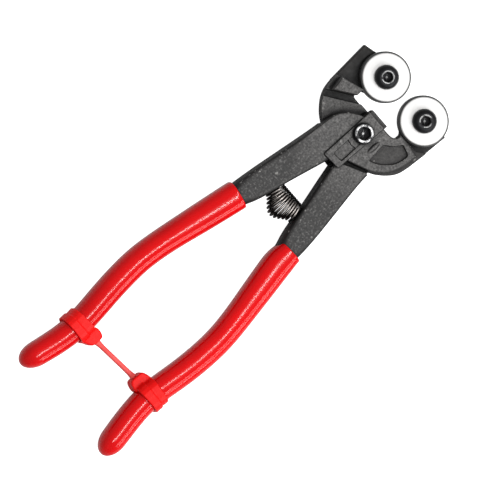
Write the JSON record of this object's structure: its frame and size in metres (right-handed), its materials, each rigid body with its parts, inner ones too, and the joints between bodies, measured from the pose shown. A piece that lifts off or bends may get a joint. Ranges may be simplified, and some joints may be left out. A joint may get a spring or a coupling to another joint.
{
  "type": "wheeled mosaic glass nippers",
  "caption": "Hand nippers whose two carbide wheels meet across glass tile when the sprung, red-dipped handles are squeezed, with a keeper strap on the handles.",
  "frame": {"origin": "centre of the pivot bolt's rear end, which lies on the surface that the tool rests on", "axes": "+X from the handles to the wheels, +Y towards the upper wheel, +Z out of the front face along the pivot axis"},
  "size_m": [0.2089, 0.0608, 0.0181],
  "materials": {
    "forging": "satin black, fine cast grain",
    "black_steel": "black oxide",
    "carbide": "ground, faint turning marks",
    "spring_steel": "dark oiled wire",
    "grip": "glossy dipped vinyl",
    "strap": "satin moulded plastic"
  },
  "bodies": {
    "rear_half": {"rear_lever": "forging", "rear_grip": "grip", "pivot_bolt": "black_steel", "pivot_nut": "black_steel", "upper_wheel_screw": "black_steel", "strap_loop_rear": "strap", "return_spring": "spring_steel", "strap_strip": "strap"},
    "front_half": {"front_lever": "forging", "front_grip": "grip", "lower_wheel_screw": "black_steel", "strap_loop_front": "strap"},
    "upper_wheel": {"upper_wheel": "carbide"},
    "lower_wheel": {"lower_wheel": "carbide"}
  },
  "joints": [
    {"name": "pivot", "type": "hinge", "parent": "rear_half", "child": "front_half", "pos_m": [0, 0, 0.008], "axis": [0, 0, 1], "range_deg": [0, 5.4], "stiffness_Nm_per_rad": 3, "springref_deg": -11.46, "deforming": ["return_spring", "strap_strip"]},
    {"name": "upper_wheel_turn", "type": "hinge", "parent": "rear_half", "child": "upper_wheel", "pos_m": [0.024, 0.0107, 0.0087], "axis": [0, 0, 1], "continuous": true},
    {"name": "lower_wheel_turn", "type": "hinge", "parent": "front_half", "child": "lower_wheel", "pos_m": [0.024, -0.0141, 0.0087], "axis": [0, 0, 1], "continuous": true}
  ]
}
